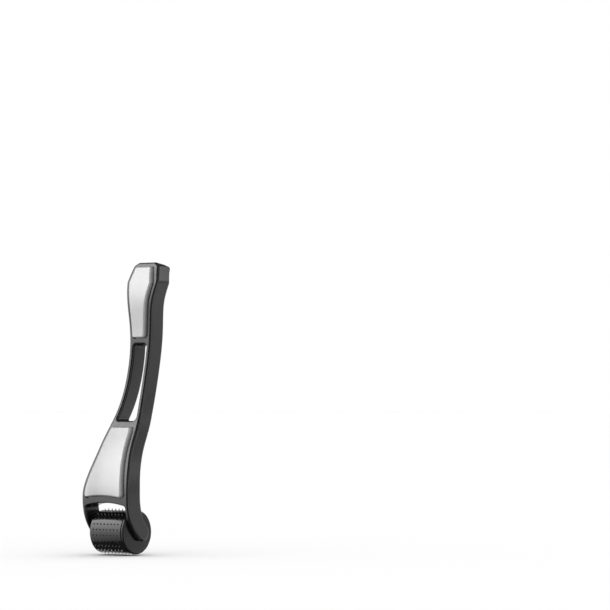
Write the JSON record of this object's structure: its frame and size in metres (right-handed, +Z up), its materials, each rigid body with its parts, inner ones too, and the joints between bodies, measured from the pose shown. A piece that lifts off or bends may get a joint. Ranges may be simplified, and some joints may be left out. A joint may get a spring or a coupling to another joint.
{
  "type": "derma roller",
  "caption": "Bowed hand-held roller: hollow plastic handle with silver inlays and a long slot, and a fork that carries a free-spinning drum studded with short steel needles.",
  "frame": {"origin": "centre of the bounding box's floor, level with the lowest needle tips; the axle is 8.7 mm in front of it and 11.9 mm above it", "axes": "+X along the drum's axle to the right, -Y towards the inlaid front of the handle, +Z up the handle"},
  "size_m": [0.031, 0.0444, 0.1506],
  "materials": {
    "frame_black": "semi-gloss moulded ABS, near-black grey",
    "shell_black": "satin moulded ABS, near-black grey",
    "cheek_black": "polished black moulding",
    "drum_black": "polished black moulding",
    "inlay_silver": "satin silver, fine grain",
    "adhesive_film": "pale double-sided film",
    "zinc_steel": "zinc plated",
    "axle_steel": "ground",
    "needle_steel": "bright stainless",
    "hub_grey": "moulded",
    "bush_white": "acetal",
    "washer_white": "low-friction film"
  },
  "bodies": {
    "handle": {"front_frame": "frame_black", "rear_upper_shell": "shell_black", "rear_lower_shell": "shell_black", "upper_inlay": "inlay_silver", "lower_inlay": "inlay_silver", "upper_inlay_adhesive": "adhesive_film", "lower_inlay_adhesive": "adhesive_film", "upper_screws": "zinc_steel", "lower_screws": "zinc_steel", "left_collar": "cheek_black", "right_guard_disc": "cheek_black", "axle": "axle_steel", "left_thrust_washer": "washer_white", "right_thrust_washer": "washer_white"},
    "roller": {"drum_shell": "drum_black", "drum_hub": "hub_grey", "left_drum_cap": "drum_black", "right_drum_cap": "drum_black", "left_bush": "bush_white", "right_bush": "bush_white", "needle_ring_1": "needle_steel", "needle_ring_2": "needle_steel", "needle_ring_3": "needle_steel", "needle_ring_4": "needle_steel", "needle_ring_5": "needle_steel", "needle_ring_6": "needle_steel", "needle_ring_7": "needle_steel", "needle_ring_8": "needle_steel"}
  },
  "joints": [
    {"name": "roller_spin", "type": "hinge", "parent": "handle", "child": "roller", "pos_m": [0, -0.00873, 0.0119], "axis": [1, 0, 0], "continuous": true}
  ]
}
